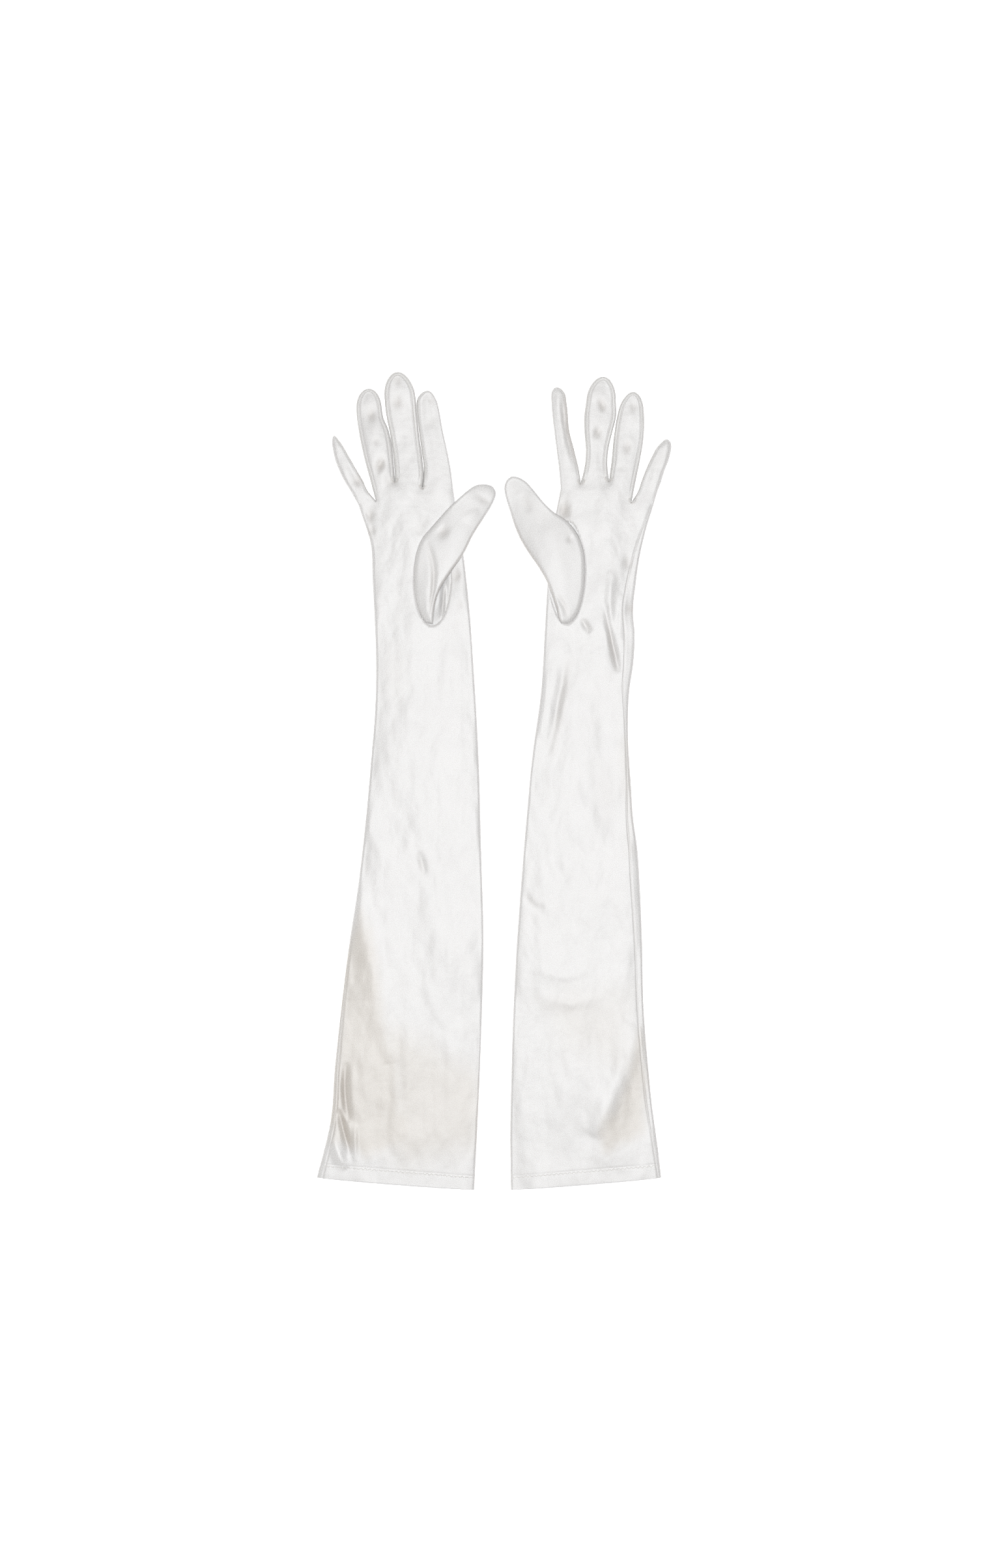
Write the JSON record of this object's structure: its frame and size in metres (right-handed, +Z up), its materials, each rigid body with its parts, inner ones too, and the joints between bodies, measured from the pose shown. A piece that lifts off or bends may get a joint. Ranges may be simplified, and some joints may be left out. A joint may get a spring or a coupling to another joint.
{
  "type": "opera gloves",
  "caption": "Pair of opera-length stretch satin gloves, laid flat palms up, with oval-set thumbs, fourchette fingers, side seam and stitched hem.",
  "frame": {"origin": "on the surface the gloves lie on, under the middle of the pair's bounding box", "axes": "+Y from the hems towards the fingertips, +X from the right-hand glove towards the left-hand glove, +Z up, out of the palms"},
  "size_m": [0.2404, 0.5588, 0.0135],
  "materials": {
    "satin": "ivory stretch satin, soft sheen",
    "gusset_satin": "ivory stretch satin, turned to the side",
    "thread": "ivory polyester sewing thread"
  },
  "bodies": {
    "right_sleeve": {"right_hem": "satin", "right_hem_stitching": "thread", "right_upper_arm_front": "satin", "right_upper_arm_back": "satin", "right_upper_arm_fold": "satin", "right_upper_arm_side_seam": "satin"},
    "right_forearm": {"right_forearm_front": "satin", "right_forearm_back": "satin", "right_forearm_fold": "satin", "right_forearm_side_seam": "satin"},
    "right_hand": {"right_palm": "satin", "right_hand_back": "satin", "right_hand_fold": "satin", "right_hand_side_seam": "satin", "right_quirk": "gusset_satin", "right_thumb_seam": "thread", "right_thumb_gusset": "satin"},
    "right_thumb": {"right_thumb_sheath": "satin"},
    "right_index": {"right_index_sheath": "satin", "right_index_fourchette_outer": "gusset_satin"},
    "right_middle": {"right_middle_sheath": "satin", "right_middle_fourchette_inner": "gusset_satin", "right_middle_fourchette_outer": "gusset_satin"},
    "right_ring": {"right_ring_sheath": "satin", "right_ring_fourchette_inner": "gusset_satin", "right_ring_fourchette_outer": "gusset_satin"},
    "right_little": {"right_little_sheath": "satin", "right_little_fourchette_inner": "gusset_satin"},
    "left_sleeve": {"left_hem": "satin", "left_hem_stitching": "thread", "left_upper_arm_front": "satin", "left_upper_arm_back": "satin", "left_upper_arm_fold": "satin", "left_upper_arm_side_seam": "satin"},
    "left_forearm": {"left_forearm_front": "satin", "left_forearm_back": "satin", "left_forearm_fold": "satin", "left_forearm_side_seam": "satin"},
    "left_hand": {"left_palm": "satin", "left_hand_back": "satin", "left_hand_fold": "satin", "left_hand_side_seam": "satin", "left_quirk": "gusset_satin", "left_thumb_seam": "thread", "left_thumb_gusset": "satin"},
    "left_thumb": {"left_thumb_sheath": "satin"},
    "left_index": {"left_index_sheath": "satin", "left_index_fourchette_outer": "gusset_satin"},
    "left_middle": {"left_middle_sheath": "satin", "left_middle_fourchette_inner": "gusset_satin", "left_middle_fourchette_outer": "gusset_satin"},
    "left_ring": {"left_ring_sheath": "satin", "left_ring_fourchette_inner": "gusset_satin", "left_ring_fourchette_outer": "gusset_satin"},
    "left_little": {"left_little_sheath": "satin", "left_little_fourchette_inner": "gusset_satin"}
  },
  "joints": [
    {"name": "pair_apart", "type": "slide", "parent": "right_sleeve", "child": "left_sleeve", "axis": [1, 0, 0], "range_m": [0, 0.1]},
    {"name": "right_elbow_bend", "type": "hinge", "parent": "right_sleeve", "child": "right_forearm", "pos_m": [-0.0563, -0.15025, 0.0072], "axis": [1, 0, 0], "range_deg": [0, 140]},
    {"name": "right_wrist_bend", "type": "hinge", "parent": "right_forearm", "child": "right_hand", "pos_m": [-0.0478, 0.08775, 0.0072], "axis": [1, 0, 0], "range_deg": [0, 80]},
    {"name": "right_thumb_bend", "type": "hinge", "parent": "right_hand", "child": "right_thumb", "pos_m": [-0.0323, 0.16125, 0.0135], "axis": [0.809, -0.5878, 0], "range_deg": [0, 60]},
    {"name": "right_index_bend", "type": "hinge", "parent": "right_hand", "child": "right_index", "pos_m": [-0.0382, 0.20325, 0.0072], "axis": [1, 0, 0], "range_deg": [0, 90]},
    {"name": "right_middle_bend", "type": "hinge", "parent": "right_hand", "child": "right_middle", "pos_m": [-0.0583, 0.20325, 0.0072], "axis": [1, 0, 0], "range_deg": [0, 90]},
    {"name": "right_ring_bend", "type": "hinge", "parent": "right_hand", "child": "right_ring", "pos_m": [-0.0763, 0.20325, 0.0072], "axis": [1, 0, 0], "range_deg": [0, 90]},
    {"name": "right_little_bend", "type": "hinge", "parent": "right_hand", "child": "right_little", "pos_m": [-0.0893, 0.19075, 0.0072], "axis": [1, 0, 0], "range_deg": [0, 90]},
    {"name": "left_elbow_bend", "type": "hinge", "parent": "left_sleeve", "child": "left_forearm", "pos_m": [0.0577, -0.15025, 0.0072], "axis": [1, 0, 0], "range_deg": [0, 140]},
    {"name": "left_wrist_bend", "type": "hinge", "parent": "left_forearm", "child": "left_hand", "pos_m": [0.0647, 0.08775, 0.0072], "axis": [1, 0, 0], "range_deg": [0, 80]},
    {"name": "left_thumb_bend", "type": "hinge", "parent": "left_hand", "child": "left_thumb", "pos_m": [0.0332, 0.16575, 0.0135], "axis": [0.8746, 0.4848, 0], "range_deg": [0, 60]},
    {"name": "left_index_bend", "type": "hinge", "parent": "left_hand", "child": "left_index", "pos_m": [0.0517, 0.20325, 0.0072], "axis": [1, 0, 0], "range_deg": [0, 90]},
    {"name": "left_middle_bend", "type": "hinge", "parent": "left_hand", "child": "left_middle", "pos_m": [0.0683, 0.20325, 0.0072], "axis": [1, 0, 0], "range_deg": [0, 90]},
    {"name": "left_ring_bend", "type": "hinge", "parent": "left_hand", "child": "left_ring", "pos_m": [0.0876, 0.20325, 0.0072], "axis": [1, 0, 0], "range_deg": [0, 90]},
    {"name": "left_little_bend", "type": "hinge", "parent": "left_hand", "child": "left_little", "pos_m": [0.1033, 0.19075, 0.0072], "axis": [1, 0, 0], "range_deg": [0, 90]}
  ]
}
